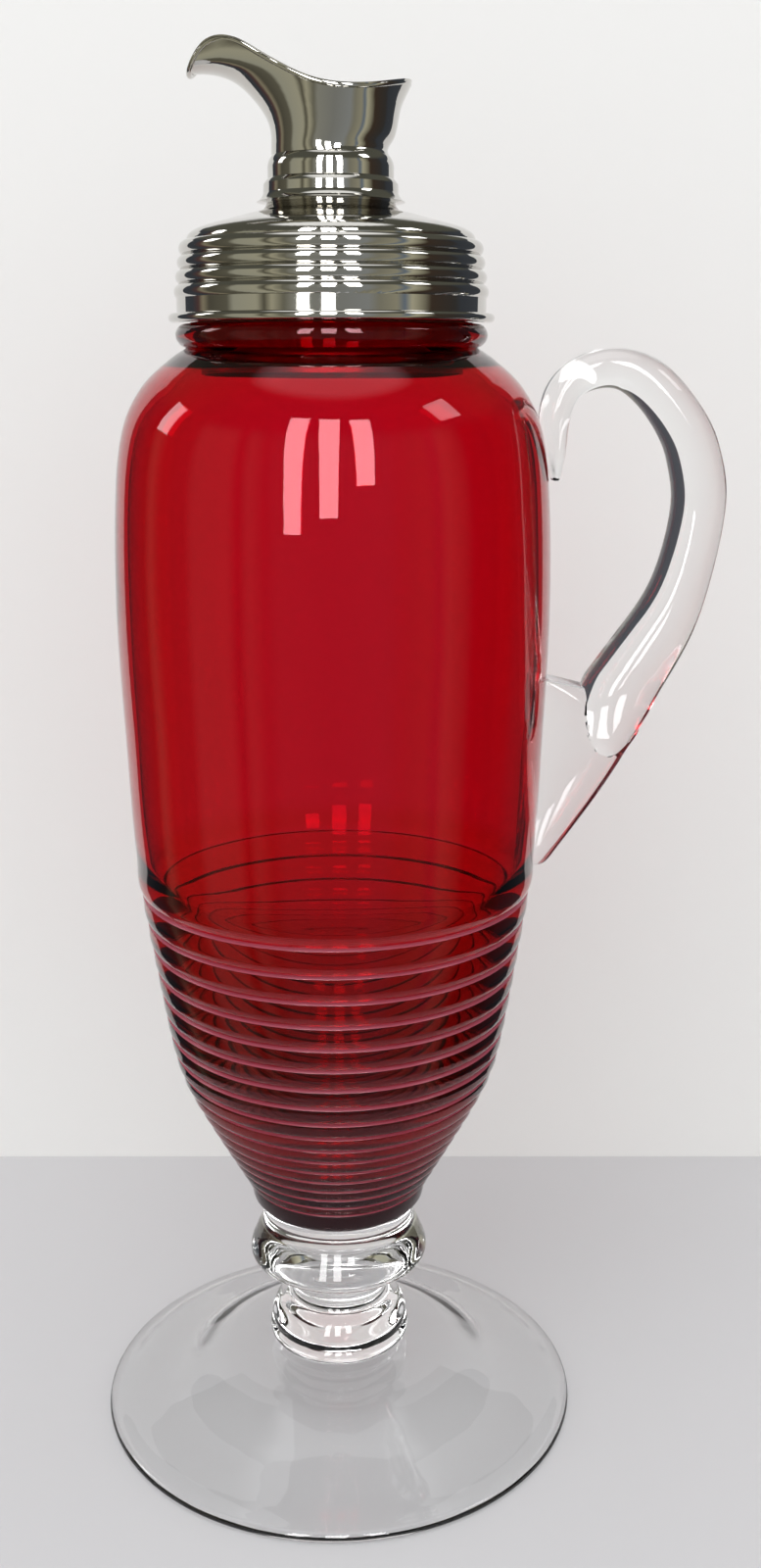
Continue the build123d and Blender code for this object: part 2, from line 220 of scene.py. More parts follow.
def finish_ruby(tree, glass):
    """Ends a ruby material: its surface, and the red that light takes on along its way through the wall."""
    settings = bpy.context.scene.shaker_glass
    surface = let_lamps_through(tree, glass, RUBY_SHADOW)
    depth = add(tree, "VolumeAbsorption", {"Color": [*settings.red, 1], "Density": settings.red_density})
    add(tree, "OutputMaterial", {"Surface": surface.outputs[0], "Volume": depth.outputs[0]})


def ruby_glass():
    """Selenium ruby, blown and pressed: clear and deep red, with its colour made darker and greyer down the thick
    taper.
    """
    material, tree = new_material("selenium_ruby_blown")
    height = add(tree, "SeparateXYZ", {0: add(tree, "TexCoord").outputs["Object"]}).outputs[2]
    # The base colour goes from white at the top of the taper to a dark grey at the bowl's base
    darker_down_taper = add(tree, "MapRange", {"Value": height, "From Min": bowl_base * MM, "From Max": taper_top * MM})
    tone = add(tree, "Mix", {0: darker_down_taper.outputs[0], 6: linear("7C767E"), 7: (1, 1, 1, 1)}, data_type="RGBA")
    # The shine is tinted, because much of it comes back from the inner wall through the red
    glass = add(tree, "BsdfPrincipled", {
        "Base Color": tone.outputs[2],
        "Roughness": 0.0,
        "IOR": GLASS_IOR,
        "Transmission Weight": 1.0,
        "Specular Tint": (1, 0.5, 0.56, 1),
        "Normal": blown_waves(tree, 40 * MM, 0.25 * MM),
    })
    finish_ruby(tree, glass)
    return material


def painted_ledge_highlight():
    """The same ruby on the rings' ledges, dulled by the mould and by handling and half clear, with a pale pink painted
    highlight for the light that the ledges catch.
    """
    material, tree = new_material("selenium_ruby_painted_ledge_highlight")
    # The pale pink base colour is a painted highlight on the ledges
    glass = add(tree, "BsdfPrincipled", {
        "Base Color": linear(bpy.context.scene.shaker_glass.ledge),
        "Roughness": 0.3,
        "IOR": GLASS_IOR,
        "Transmission Weight": 0.6,
    })
    finish_ruby(tree, glass)
    return material


def clear_glass():
    """Clear soda glass, drawn and fire polished: colourless, with a slow ripple from tooling it hot."""
    material, tree = new_material("soda_glass_fire_polished")
    glass = add(tree, "BsdfPrincipled", {
        "Base Color": (1, 1, 1, 1),
        "Roughness": 0.0,
        "IOR": GLASS_IOR,
        "Transmission Weight": 1.0,
        "Normal": blown_waves(tree, 14 * MM, 0.2 * MM),
    })
    surface = let_lamps_through(tree, glass, CLEAR_SHADOW)
    add(tree, "OutputMaterial", {"Surface": surface.outputs[0]})
    return material


def bright_plate():
    """Chromium plate on spun brass: a cool mirror with hairline wiping scratches and slow spinning waves."""
    settings = bpy.context.scene.shaker_metal
    material, tree = new_material("chromium_plate_spun")
    place = add(tree, "TexCoord").outputs["Object"]
    around = add(tree, "Mapping", {"Vector": place, "Scale": (30, 30, 1800)})
    hairlines = add(tree, "TexNoise", {"Vector": around.outputs[0], "Scale": 1.0, "Detail": 2.0})
    patches = add(tree, "TexNoise", {"Vector": place, "Scale": 1 / (18 * MM), "Detail": 2.0})
    wiped = add(tree, "MapRange", {"Value": patches.outputs["Fac"], "To Min": 0.6, "To Max": 1.5})
    dull = add(tree, "Math", {0: wiped.outputs[0], 1: settings.polish}, operation="MULTIPLY")
    waves = add(tree, "TexNoise", {"Vector": place, "Scale": 1 / (9 * MM), "Detail": 0.0})
    lines = add(tree, "Bump", {"Height": hairlines.outputs["Fac"], "Strength": 1.0, "Distance": 0.002 * MM})
    spun = add(tree, "Bump", {
        "Height": waves.outputs["Fac"], "Strength": 1.0, "Distance": 0.05 * MM, "Normal": lines.outputs[0],
    })
    metal = add(tree, "BsdfPrincipled", {
        "Base Color": linear(settings.plate),
        "Metallic": 1.0,
        "Roughness": dull.outputs[0],
        "Normal": spun.outputs[0],
    })
    add(tree, "OutputMaterial", {"Surface": metal.outputs[0]})
    return material


def tinned_sheet():
    """Tinned sheet inside the top: a greyer, softer metal than the plating."""
    material, tree = new_material("tinned_sheet_pressed")
    place = add(tree, "TexCoord").outputs["Object"]
    mottle = add(tree, "TexNoise", {"Vector": place, "Scale": 1 / (5 * MM), "Detail": 3.0})
    dull = add(tree, "MapRange", {"Value": mottle.outputs["Fac"], "To Min": 0.25, "To Max": 0.45})
    metal = add(tree, "BsdfPrincipled", {
        "Base Color": linear("77777A"), "Metallic": 1.0, "Roughness": dull.outputs[0],
    })
    add(tree, "OutputMaterial", {"Surface": metal.outputs[0]})
    return material


def cut_cork():
    """Natural cork, cut as a ring: warm brown, grainy, with dark pores a millimetre or so across."""
    material, tree = new_material("natural_cork_cut")
    place = add(tree, "TexCoord").outputs["Object"]
    grain = add(tree, "TexNoise", {"Vector": place, "Scale": 1 / (2 * MM), "Detail": 4.0})
    pores = add(tree, "TexVoronoi", {"Vector": place, "Scale": 1 / (3 * MM)})
    tone = add(tree, "ValToRGB", {"Fac": grain.outputs["Fac"]})
    tone.color_ramp.elements[0].color = linear("4E3424")
    tone.color_ramp.elements[1].color = linear("87664A")
    pit = add(tree, "MapRange", {"Value": pores.outputs["Distance"], "From Max": 0.25, "To Min": 0.35})
    layers = {0: 1.0, 6: tone.outputs[0], 7: pit.outputs[0]}
    shade = add(tree, "Mix", layers, data_type="RGBA", blend_type="MULTIPLY")
    dent = add(tree, "Bump", {"Height": pit.outputs[0], "Strength": 0.6, "Distance": 0.3 * MM})
    cork = add(tree, "BsdfPrincipled", {
        "Base Color": shade.outputs[2], "Roughness": 0.85, "Normal": dent.outputs[0],
    })
    add(tree, "OutputMaterial", {"Surface": cork.outputs[0]})
    return material


def unspread(tree):
    """One for a ray that has met no matt surface yet, and nought for the rest."""
    depth = add(tree, "LightPath").outputs["Diffuse Depth"]
    return add(tree, "Math", {0: depth, 1: 0.5}, operation="LESS_THAN").outputs[0]


def room_rays(tree):
    """One for the rays that bring the room to the eye by metal and glass, and nought for the rest."""
    path = add(tree, "LightPath")
    kinds = {0: path.outputs["Is Glossy Ray"], 1: path.outputs["Is Transmission Ray"]}
    sent = add(tree, "Math", kinds, operation="MAXIMUM")
    return add(tree, "Math", {0: sent.outputs[0], 1: unspread(tree)}, operation="MULTIPLY").outputs[0]


def paper(name, hex_colour, table_reach=None):
    """Matt paper: a card is clear from its back, and a floor shows in metal and glass only as far as the table."""
    material, tree = new_material(name)
    place = add(tree, "TexCoord").outputs["Object"]
    tooth = add(tree, "TexNoise", {"Vector": place, "Scale": 1 / (0.6 * MM), "Detail": 3.0})
    grain = add(tree, "Bump", {"Height": tooth.outputs["Fac"], "Strength": 0.2, "Distance": 0.05 * MM})
    sheet = add(tree, "BsdfPrincipled", {
        "Base Color": linear(hex_colour), "Roughness": 0.9, "Specular IOR Level": 0.2, "Normal": grain.outputs[0],
    })
    if table_reach:
        away = add(tree, "VectorMath", {0: place}, operation="LENGTH")
        past = add(tree, "Math", {0: away.outputs["Value"], 1: table_reach}, operation="GREATER_THAN")
        gone = add(tree, "Math", {0: past.outputs[0], 1: room_rays(tree)}, operation="MULTIPLY").outputs[0]
    else:
        gone = add(tree, "NewGeometry").outputs["Backfacing"]
    clear = add(tree, "BsdfTransparent")
    surface = add(tree, "MixShader", {0: gone, 1: sheet.outputs[0], 2: clear.outputs[0]})
    add(tree, "OutputMaterial", {"Surface": surface.outputs[0]})
    return material


def give(piece, material):
    """The piece shows this material alone."""
    piece.data.materials.clear()
    piece.data.materials.append(material)


def select_only(piece):
    """Selects this piece alone and makes it the active one."""
    bpy.ops.object.select_all(action="DESELECT")
    piece.select_set(True)
    bpy.context.view_layer.objects.active = piece


def settle(piece, name, angle=30):
    """Names a finished piece, puts its place into its mesh and shades it smooth below an angle."""
    select_only(piece)
    bpy.ops.object.transform_apply(location=True, rotation=True, scale=True)
    bpy.ops.object.shade_smooth_by_angle(angle=radians(angle))
    piece.name = name
    piece.data.name = name
    return piece


def finish_mesh():
    """Merges doubles and points the faces of the open mesh outwards, then leaves edit mode."""
    bpy.ops.mesh.select_all(action="SELECT")
    bpy.ops.mesh.remove_doubles(threshold=MERGE)
    bpy.ops.mesh.normals_make_consistent(inside=False)
    bpy.ops.object.mode_set(mode="OBJECT")


def turned(name, outline, angle=30):
    """Draws an outline of radius and height in millimetres, point by point, and spins it into a piece."""
    bpy.ops.object.select_all(action="DESELECT")
    start = outline[0]
    bpy.ops.mesh.primitive_plane_add(size=MM, location=(start[0] * MM, 0, start[1] * MM))
    piece = bpy.context.object
    bpy.ops.object.mode_set(mode="EDIT")
    bpy.ops.mesh.merge(type="CENTER")
    for a, b in zip(outline, outline[1:]):
        step = ((b[0] - a[0]) * MM, 0, (b[1] - a[1]) * MM)
        bpy.ops.mesh.extrude_region_move(TRANSFORM_OT_translate={"value": step})
    bpy.ops.mesh.select_all(action="SELECT")
    bpy.ops.mesh.spin(steps=SEGMENTS, angle=2 * pi, center=(0, 0, 0), axis=(0, 0, 1))
    finish_mesh()
    return settle(piece, name, angle)


def smooth(points, pitch=1.5, start=None, end=None):
    """Points along a smooth curve through those given, about a pitch apart, with its end directions if set."""
    knots = [Vector(p) for p in points]
    last = len(knots) - 1
    slopes = [(knots[min(i + 1, last)] - knots[max(i - 1, 0)]).normalized() for i in range(last + 1)]
    if start:
        slopes[0] = Vector(start).normalized()
    if end:
        slopes[-1] = Vector(end).normalized()
    line = []
    for a, b, leave, arrive in zip(knots, knots[1:], slopes, slopes[1:]):
        pull = (b - a).length / 3
        count = max(3, round((b - a).length / pitch) + 1)
        line += interpolate_bezier(a, a + leave * pull, b - arrive * pull, b, count)[:-1]
    return [tuple(p) for p in line] + [tuple(knots[-1])]


def inset(points, wall):
    """A climbing outline moved inwards by a wall thickness."""
    moved = []
    for i, (r, z) in enumerate(points):
        r0, z0 = points[max(i - 1, 0)]
        r1, z1 = points[min(i + 1, len(points) - 1)]
        length = hypot(r1 - r0, z1 - z0)
        moved.append((r - wall * (z1 - z0) / length, z + wall * (r1 - r0) / length))
    return moved


# The bowl's outline: radii in millimetres, and how much its two slopes widen a millimetre up
BASE_RADIUS = 20.6
TAPER_RADIUS = body_radius - 3.55
NECK_RADIUS = 34.7
BORE_RADIUS = 31.7
BEAD_RADIUS = 37.05
CONE_SLOPE = 0.54
WALL_SLOPE = 0.145
# How softly the two slopes meet, and the round at the rim's inner and outer edge
KNEE = 1.3
RIM_INNER_ROUND = 0.7
RIM_OUTER_ROUND = 0.4
# Thickness of the floor, and the steps of the inner wall over it
FLOOR = 4.5
INNER_STEPS = 6
# The plain band under the lowest ring, each ring's pitch beside the one above it, how far its ledge climbs
# to the groove, the size of its rounded corner, and where its land bends, as shares of the way back from the corner
BASE_BAND = 5.8
RING_PITCH_RATIO = 0.947
LEDGE_RISE = 0.6
CORNER = 0.12
LAND_OUT = 0.12
LAND_UP = 0.58
# A ledge, which gets the painted highlight, is a face that looks up, this near the outer wall in millimetres, and no
# higher than this over the rings
LEDGE_NORMAL = 0.5
LEDGE_DEPTH = 2
LEDGE_OVER = 1


def taper_radius(z):
    """Radius of the ringed taper: a cone that rounds into a near upright wall."""
    cone = BASE_RADIUS + CONE_SLOPE * (z - bowl_base)
    wall = TAPER_RADIUS - WALL_SLOPE * (taper_top - z)
    return (cone + wall) / 2 - sqrt(((cone - wall) / 2) ** 2 + KNEE**2)


def ring_corners(count):
    """Top corners of the rings, from the lowest up, each a little further from the last."""
    gaps = count - 1
    run = taper_top - bowl_base - BASE_BAND
    pitch = run * (1 - RING_PITCH_RATIO) / (1 - RING_PITCH_RATIO**gaps)
    corners = []
    z = taper_top
    for i in range(count):
        corners.append((taper_radius(z), z))
        z -= pitch * RING_PITCH_RATIO**i
    return corners[::-1]


def ring_outline(start, corner, groove):
    """One ring, from where it leaves the groove below, up its rounded land, over its corner to the groove above."""
    land = (corner[0] - LAND_OUT * (corner[0] - start[0]), corner[1] - LAND_UP * (corner[1] - start[1]))
    below = (corner[0] - 0.01, corner[1] - CORNER)
    along = Vector(groove) - Vector(corner)
    above = tuple(Vector(corner) + along.normalized() * CORNER)
    up = (below[0] - land[0], below[1] - land[1])
    rise = smooth([start, land], 0.7, start=(1, 0.25), end=up)
    turn = smooth([below, above], 0.15, start=up, end=along)
    return rise + turn


def wall_points():
    """Points of the smooth outer wall, from just above the rings to the foot of the neck."""
    shoulder_height = neck_base - shoulder_base
    across = body_radius - 1 - NECK_RADIUS
    return [
        (TAPER_RADIUS + 1.05, taper_top + 0.1 * wall_height),
        (body_radius - 1, taper_top + 0.4 * wall_height),
        (body_radius, taper_top + 0.7 * wall_height),
        (body_radius - 1, shoulder_base),
        (NECK_RADIUS + 0.86 * across, shoulder_base + 0.46 * shoulder_height),
        (NECK_RADIUS + 0.59 * across, shoulder_base + 0.735 * shoulder_height),
        (NECK_RADIUS + 0.2 * across, shoulder_base + 0.93 * shoulder_height),
        (NECK_RADIUS, neck_base),
    ]


def bowl_outline():
    """The whole outline of the bowl, from the middle of its base round to the middle of its floor."""
    settings = bpy.context.scene.shaker_glass
    depth = settings.ring_depth / MM
    corners = ring_corners(settings.ring_count)
    line = [(0, bowl_base)]
    start = (BASE_RADIUS, bowl_base)
    for corner in corners:
        groove = (corner[0] - depth, corner[1] + LEDGE_RISE)
        line += ring_outline(start, corner, groove)
        start = groove
    wall = wall_points()
    line += smooth([start, *wall], 1.8, start=(1, 0.6))
    crest = (BEAD_RADIUS, neck_base + (rim_top - neck_base) / 2)
    outer_edge = (NECK_RADIUS + RIM_OUTER_ROUND, rim_top)
    line += smooth([wall[-1], crest, outer_edge], 0.5, start=(1, 0.15), end=(-1, 0.05))[1:]
    inner_edge = [(BORE_RADIUS + RIM_INNER_ROUND, rim_top), (BORE_RADIUS, rim_top - RIM_INNER_ROUND)]
    line += smooth(inner_edge, 0.3, start=(-1, 0), end=(0, -1))
    floor = bowl_base + FLOOR
    bottom = floor + 2 * FLOOR
    heights = [bottom + (taper_top - bottom) * i / INNER_STEPS for i in range(INNER_STEPS + 1)]
    inner = [(taper_radius(z) - settings.taper_wall / MM, z) for z in heights]
    inner += inset(wall, settings.wall / MM)[:-1]
    inner.append((BORE_RADIUS, neck_base - settings.wall / MM))
    middle = (inner[0][0] - 2 * FLOOR, floor)
    line += smooth(inner[::-1], 2.5, start=(0, -1))
    inwards = (inner[0][0] - inner[1][0], inner[0][1] - inner[1][1])
    line += smooth([inner[0], middle], 0.8, start=inwards, end=(-1, 0))
    line.append((0, floor))
    return line


def stem_outline():
    """The outline of stem and foot as one piece of glass, from the middle of its top down and under the foot."""
    settings = bpy.context.scene.shaker_glass
    fused = settings.fused / MM
    neck = 13.0
    knop = 24.1
    knop_height = bowl_base - lower_knop_top
    ring = 19.05
    ring_height = 3.6
    lower = 18.5
    lower_height = lower_knop_top - foot_height
    crown = (29.7, foot_height - 2.4)
    rim = 3.0
    edge = foot_radius - rim / 2
    wall = 3.5
    span = foot_radius - crown[0]
    fall = crown[1] - rim
    middle = (crown[0] + 0.45 * span, crown[1] - 0.53 * fall)
    skirt = (crown[0] + 0.8 * span, crown[1] - 0.9 * fall)
    line = [(0, bowl_base + fused), (BASE_RADIUS, bowl_base + fused)]
    line += smooth([
        (BASE_RADIUS - 0.3, bowl_base - 2.5),
        (BASE_RADIUS + 0.2, lower_knop_top + 0.76 * knop_height),
        (knop - 1.6, lower_knop_top + 0.6 * knop_height),
        (knop, lower_knop_top + 0.4 * knop_height),
        (knop - 2, lower_knop_top + 0.31 * knop_height),
        (neck + 3, lower_knop_top + 3 + 0.12 * knop_height),
        (neck, lower_knop_top + 3),
    ], 0.8, start=(0, -1), end=(0, -1))
    line += smooth([
        (neck, lower_knop_top - 2),
        (neck + 0.8, foot_height + 0.79 * lower_height),
        (lower - 1.8, foot_height + 0.66 * lower_height),
        (lower, foot_height + 0.4 * lower_height),
        (lower - 0.2, foot_height + 1.17 * ring_height),
    ], 0.7, start=(0, -1), end=(0, -1))
    line += smooth([
        (ring - 0.15, foot_height + ring_height),
        (ring, foot_height + 0.56 * ring_height),
        (ring - 0.6, foot_height + 0.15 * ring_height),
        (ring - 2, foot_height - 0.1),
    ], 0.5, start=(0.6, -1), end=(-1, -0.2))
    line += smooth([crown, middle, skirt, (edge, rim)], 1.5, end=(1, -0.15))
    line += smooth([(edge, rim), (foot_radius, rim / 2), (edge, 0.05)], 0.5, start=(1, -0.1), end=(-1, 0))[1:]
    line += smooth([
        (edge - 1.6, 0.5),
        (skirt[0], 1.7),
        (middle[0] - 1, middle[1] - wall),
        (crown[0] - 1, crown[1] - wall),
        (0, foot_height - wall),
    ], 1.5, start=(-1, 0.3), end=(-1, 0))
    return line


# The sections of the handle's rod, from its curled tip on the shoulder to its rounded end on the gather,
# and those of the gather, from its top down the bowl to its tip.
# Each gives the inner edge and the outer edge as shares of the handle's reach from the bowl and
# of the height from the rings to the neck, then the half depth as a share of the handle's depth.
HANDLE_DEPTH = 13.6
ROD_SECTIONS = [
    ((0.04, 0.766), (-0.01, 0.768), 0.12),
    ((0.07, 0.815), (-0.05, 0.815), 0.34),
    ((0.09, 0.875), (-0.09, 0.886), 0.43),
    ((0.146, 0.914), (-0.02, 0.95), 0.42),
    ((0.238, 0.929), (0.167, 0.992), 0.4),
    ((0.355, 0.928), (0.391, 1.0), 0.4),
    ((0.473, 0.899), (0.61, 0.974), 0.43),
    ((0.584, 0.851), (0.807, 0.911), 0.46),
    ((0.65, 0.8), (0.945, 0.832), 0.48),
    ((0.682, 0.715), (1.0, 0.715), 0.5),
    ((0.576, 0.58), (0.873, 0.514), 0.55),
    ((0.325, 0.46), (0.66, 0.375), 0.62),
    ((0.2, 0.4), (0.6, 0.335), 0.64),
    ((0.165, 0.335), (0.525, 0.297), 0.6),
    ((0.21, 0.28), (0.44, 0.264), 0.46),
    ((0.29, 0.256), (0.37, 0.252), 0.2),
]
GATHER_SECTIONS = [
    ((-0.18, 0.43), (0.0, 0.405), 0.36),
    ((-0.18, 0.39), (0.3, 0.385), 0.42),
    ((-0.18, 0.33), (0.555, 0.322), 0.46),
    ((-0.18, 0.262), (0.48, 0.264), 0.47),
    ((-0.18, 0.19), (0.34, 0.19), 0.46),
    ((-0.18, 0.115), (0.178, 0.115), 0.4),
    ((-0.18, 0.042), (0.01, 0.04), 0.22),
]
HANDLE_SIDES = 32
HANDLE_STEPS = 5
# How far below the top of the rings the handle is cut by the bowl's wall
CUT_DEPTH = 12

# The rim of the spout: points round it, the middle they go round, how far apart, and what counts as its edges
RIM_STEPS = 120
RIM_MIDDLE = -6.0
RIM_SPREAD = 2 * pi / RIM_STEPS
RIM_CREASE = radians(35)
RIM_LOWEST = high("spout") - 13.5
# Where the bead's middle lies: in from the rim, and down as a share of the bead's radius
RIM_INSET = 0.2
RIM_DROP = 0.75


def handle_point(reach_share, height_share):
    """A point beside the bowl in millimetres, in the plane of the handle and the spout."""
    return (
        body_radius + reach_share * (handle_tip - body_radius),
        taper_top + height_share * (neck_base - taper_top),
    )


def eased(values):
    """Values between those given, on a smooth curve, with the same count of steps in each gap."""
    last = len(values) - 1
    made = []
    for i in range(last):
        a, b = values[i], values[i + 1]
        leave = (b - values[i - 1]) / 2 if i else b - a
        arrive = (values[i + 2] - a) / 2 if i < last - 1 else b - a
        for step in range(HANDLE_STEPS):
            t = step / HANDLE_STEPS
            made.append(
                a * (2 * t**3 - 3 * t**2 + 1)
                + leave * (t**3 - 2 * t**2 + t)
                + b * (3 * t**2 - 2 * t**3)
                + arrive * (t**3 - t**2)
            )
    return made + [values[-1]]


def handle_ovals(sections):
    """Centre, half length, half depth and turn of each oval along the handle, in millimetres and radians."""
    inner = [Vector(handle_point(*section[0])) for section in sections]
    outer = [Vector(handle_point(*section[1])) for section in sections]
    depth = [section[2] * HANDLE_DEPTH for section in sections]
    ovals = []
    for a, b, half_depth in zip(eased(inner), eased(outer), eased(depth)):
        across = b - a
        ovals.append(((a + b) / 2, across.length / 2, half_depth, atan2(across[1], across[0])))
    return ovals


def select_rings(mesh, first, sides):
    """Selects two neighbouring rings of edges by the order they were drawn in."""
    mesh.verts.ensure_lookup_table()
    for vertex in mesh.verts:
        vertex.select = first * sides <= vertex.index < (first + 2) * sides
    mesh.select_flush(True)
    mesh.select_flush(False)


def bridged(ovals, sides):
    """Draws an oval ring for each place given and bridges each to the next, with closed ends."""
    bpy.ops.object.select_all(action="DESELECT")
    piece = None
    for centre, half_length, half_depth, turn in ovals:
        bpy.ops.mesh.primitive_circle_add(vertices=sides, radius=1, location=(0, 0, 0), fill_type="NOTHING")
        if piece is None:
            piece = bpy.context.object
            bpy.ops.object.mode_set(mode="EDIT")
        bpy.ops.transform.resize(value=(half_length * MM, half_depth * MM, 1), center_override=(0, 0, 0))
        bpy.ops.transform.rotate(value=turn, orient_axis="Y", center_override=(0, 0, 0))
        bpy.ops.transform.translate(value=(centre[0] * MM, 0, centre[1] * MM))
        bpy.ops.mesh.select_all(action="DESELECT")
    mesh = bmesh.from_edit_mesh(piece.data)
    for first in range(len(ovals) - 1):
        select_rings(mesh, first, sides)
        bpy.ops.mesh.bridge_edge_loops()
    bpy.ops.mesh.select_all(action="DESELECT")
    bpy.ops.mesh.select_non_manifold()
    bpy.ops.mesh.fill_holes(sides=0)
    finish_mesh()
    return piece


def apply_all(piece):
    """Applies every modifier on a piece."""
    select_only(piece)
    for modifier in list(piece.modifiers):
        bpy.ops.object.modifier_apply(modifier=modifier.name)


def rounded(piece):
    """Rounds a drawn piece by one level of subdivision."""
    rounder = piece.modifiers.new("Rounder", "SUBSURF")
    rounder.levels = rounder.render_levels = 1
    apply_all(piece)
    return piece


def joined(piece, other, operation):
    """Unites a piece with another, or cuts the other out of it, and takes the other away."""
    join = piece.modifiers.new("Join", "BOOLEAN")
    join.operation = operation
    join.solver = "EXACT"
    join.object = other
    apply_all(piece)
    bpy.data.objects.remove(other)


class SHAKER_OT_ruby_bowl(bpy.types.Operator):
    """Blow the red bowl, with its pressed rings, shoulder, neck and bead"""

    bl_idname = "shaker.ruby_bowl"
    bl_label = "Ruby bowl"

    def execute(self, context):
        bowl = turned("ruby_bowl", bowl_outline(), angle=40)
        give(bowl, ruby_glass())
        # The second material is the painted highlight of the ledges, for faces that look up near the outer wall
        bowl.data.materials.append(painted_ledge_highlight())
        for face in bowl.data.polygons:
            place = face.center / MM
            outside = hypot(place.x, place.y) > taper_radius(place.z) - LEDGE_DEPTH
            if outside and face.normal.z > LEDGE_NORMAL and place.z < taper_top + LEDGE_OVER:
                face.material_index = 1
        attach(bowl, "vessel")
        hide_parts("ruby_body")
        return {"FINISHED"}


class SHAKER_OT_stem_and_foot(bpy.types.Operator):
    """Press the clear stem with its two knops and the wide hollow foot as one piece of glass"""

    bl_idname = "shaker.stem_and_foot"
    bl_label = "Stem and foot"

    def execute(self, context):
        stem = turned("stem_and_foot", stem_outline(), angle=40)
        give(stem, clear_glass())
        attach(stem, "vessel")
        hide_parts("upper_knop", "lower_knop", "foot")
        return {"FINISHED"}


class SHAKER_OT_drawn_handle(bpy.types.Operator):
    """Draw the clear handle from its gather up and over to its curl, and fuse it to the bowl"""

    bl_idname = "shaker.drawn_handle"
    bl_label = "Drawn handle"

    def execute(self, context):
        fused = context.scene.shaker_glass.fused / MM
        cut_base = taper_top - CUT_DEPTH
        # The bowl's wall is cut out of the handle, but for the little that they are fused
        wall = inset([(TAPER_RADIUS, cut_base), *wall_points()], fused)
        core = [(0, cut_base), *smooth(wall, 1.8), (0, neck_base)]
        handle = rounded(bridged(handle_ovals(ROD_SECTIONS), HANDLE_SIDES))
        gather = rounded(bridged(handle_ovals(GATHER_SECTIONS), HANDLE_SIDES))
        joined(handle, gather, "UNION")
        joined(handle, turned("bowl_core", core), "DIFFERENCE")
        settle(handle, "drawn_handle", angle=45)
        give(handle, bpy.data.materials["soda_glass_fire_polished"])
        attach(handle, "vessel")
        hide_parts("handle")
        return {"FINISHED"}


def rim_places(node):
    """Points along the middle of the spout's rim, in millimetres, from the faces that its trim left."""
    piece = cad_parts[node]
    mesh = bmesh.new()
    mesh.from_mesh(piece.data)
    bmesh.ops.remove_doubles(mesh, verts=mesh.verts, dist=MERGE)
    edges = []
    for edge in mesh.edges:
        if len(edge.link_faces) == 2 and edge.calc_face_angle(0) > RIM_CREASE:
            middle = (edge.verts[0].co + edge.verts[1].co) / (2 * MM)
            if middle.z > RIM_LOWEST:
                edges.append(middle)
    mesh.free()
    turns = [atan2(edge.y, edge.x - RIM_MIDDLE) for edge in edges]
    places = []
    for i in range(RIM_STEPS):
        aim = 2 * pi * i / RIM_STEPS
        near = [edge for edge, turn in zip(edges, turns) if abs((turn - aim + pi) % (2 * pi) - pi) < RIM_SPREAD]
        places.append(sum(near, Vector()) / len(near))
    return places


class SHAKER_OT_rolled_rim(bpy.types.Operator):
    """Roll the bead round the rim of the spout"""

    bl_idname = "shaker.rolled_rim"
    bl_label = "Rolled rim"

    def execute(self, context):
        bead = context.scene.shaker_metal.bead / MM
        places = rim_places("spout")
        bpy.ops.object.select_all(action="DESELECT")
        bpy.ops.mesh.primitive_circle_add(vertices=RIM_STEPS, radius=20 * MM, fill_type="NOTHING")
        rim = context.object
        bpy.ops.object.mode_set(mode="EDIT")
        mesh = bmesh.from_edit_mesh(rim.data)
        ring = sorted(mesh.verts, key=lambda v: atan2(v.co.y, v.co.x) % (2 * pi))
        for vertex, place in zip(ring, places):
            inward = Vector((RIM_MIDDLE, 0, place.z)) - place
            vertex.co = (place + inward.normalized() * RIM_INSET - Vector((0, 0, RIM_DROP * bead))) * MM
        bmesh.update_edit_mesh(rim.data)
        bpy.ops.mesh.select_all(action="SELECT")
        bpy.ops.mesh.vertices_smooth(factor=0.5, repeat=2)
        bpy.ops.object.mode_set(mode="OBJECT")
        bpy.ops.object.convert(target="CURVE")
        rim.data.bevel_depth = bead * MM
        rim.data.bevel_resolution = 4
        bpy.ops.object.convert(target="MESH")
        bpy.ops.object.mode_set(mode="EDIT")
        finish_mesh()
        settle(rim, "rolled_rim", angle=60)
        give(rim, bpy.data.materials["chromium_plate_spun"])
        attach(rim, "top")
        return {"FINISHED"}


class SHAKER_OT_plated_top(bpy.types.Operator):
    """Plate the cover, the spout and its base, and finish the sleeve, strainer and seal"""

    bl_idname = "shaker.plated_top"
    bl_label = "Plated top"

    def execute(self, context):
        plate = bright_plate()
        sheet = tinned_sheet()
        for node in ("cover", "spout_base", "spout"):
            give(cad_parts[node], plate)
        for node in ("inner_sleeve", "strainer"):
            give(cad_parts[node], sheet)
        give(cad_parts["cork_seal"], cut_cork())
        return {"FINISHED"}


# The camera, as measured from the photograph: its place, how far it looks down and its lens
CAMERA_PLACE = (0.01155, -0.39656, 0.28196)
CAMERA_DOWN = radians(14.93)
FRAME_HEIGHT_PIXELS = 1600
FOCAL_PIXELS = 1638

# The card behind the object, from its left edge to its right edge, and its height
CARD_LEFT = -0.19
CARD_RIGHT = 0.165
CARD_HEIGHT = 0.392

# The floor's width, and how far from the object it still shows in metal and glass
FLOOR_WIDTH = 4
TABLE_REACH = 0.2

# Where the soft lights face, and how far out the windows stand
LIGHTS_AIM = Vector((0, 0, 0.2))
WINDOW_DISTANCE = 1.5
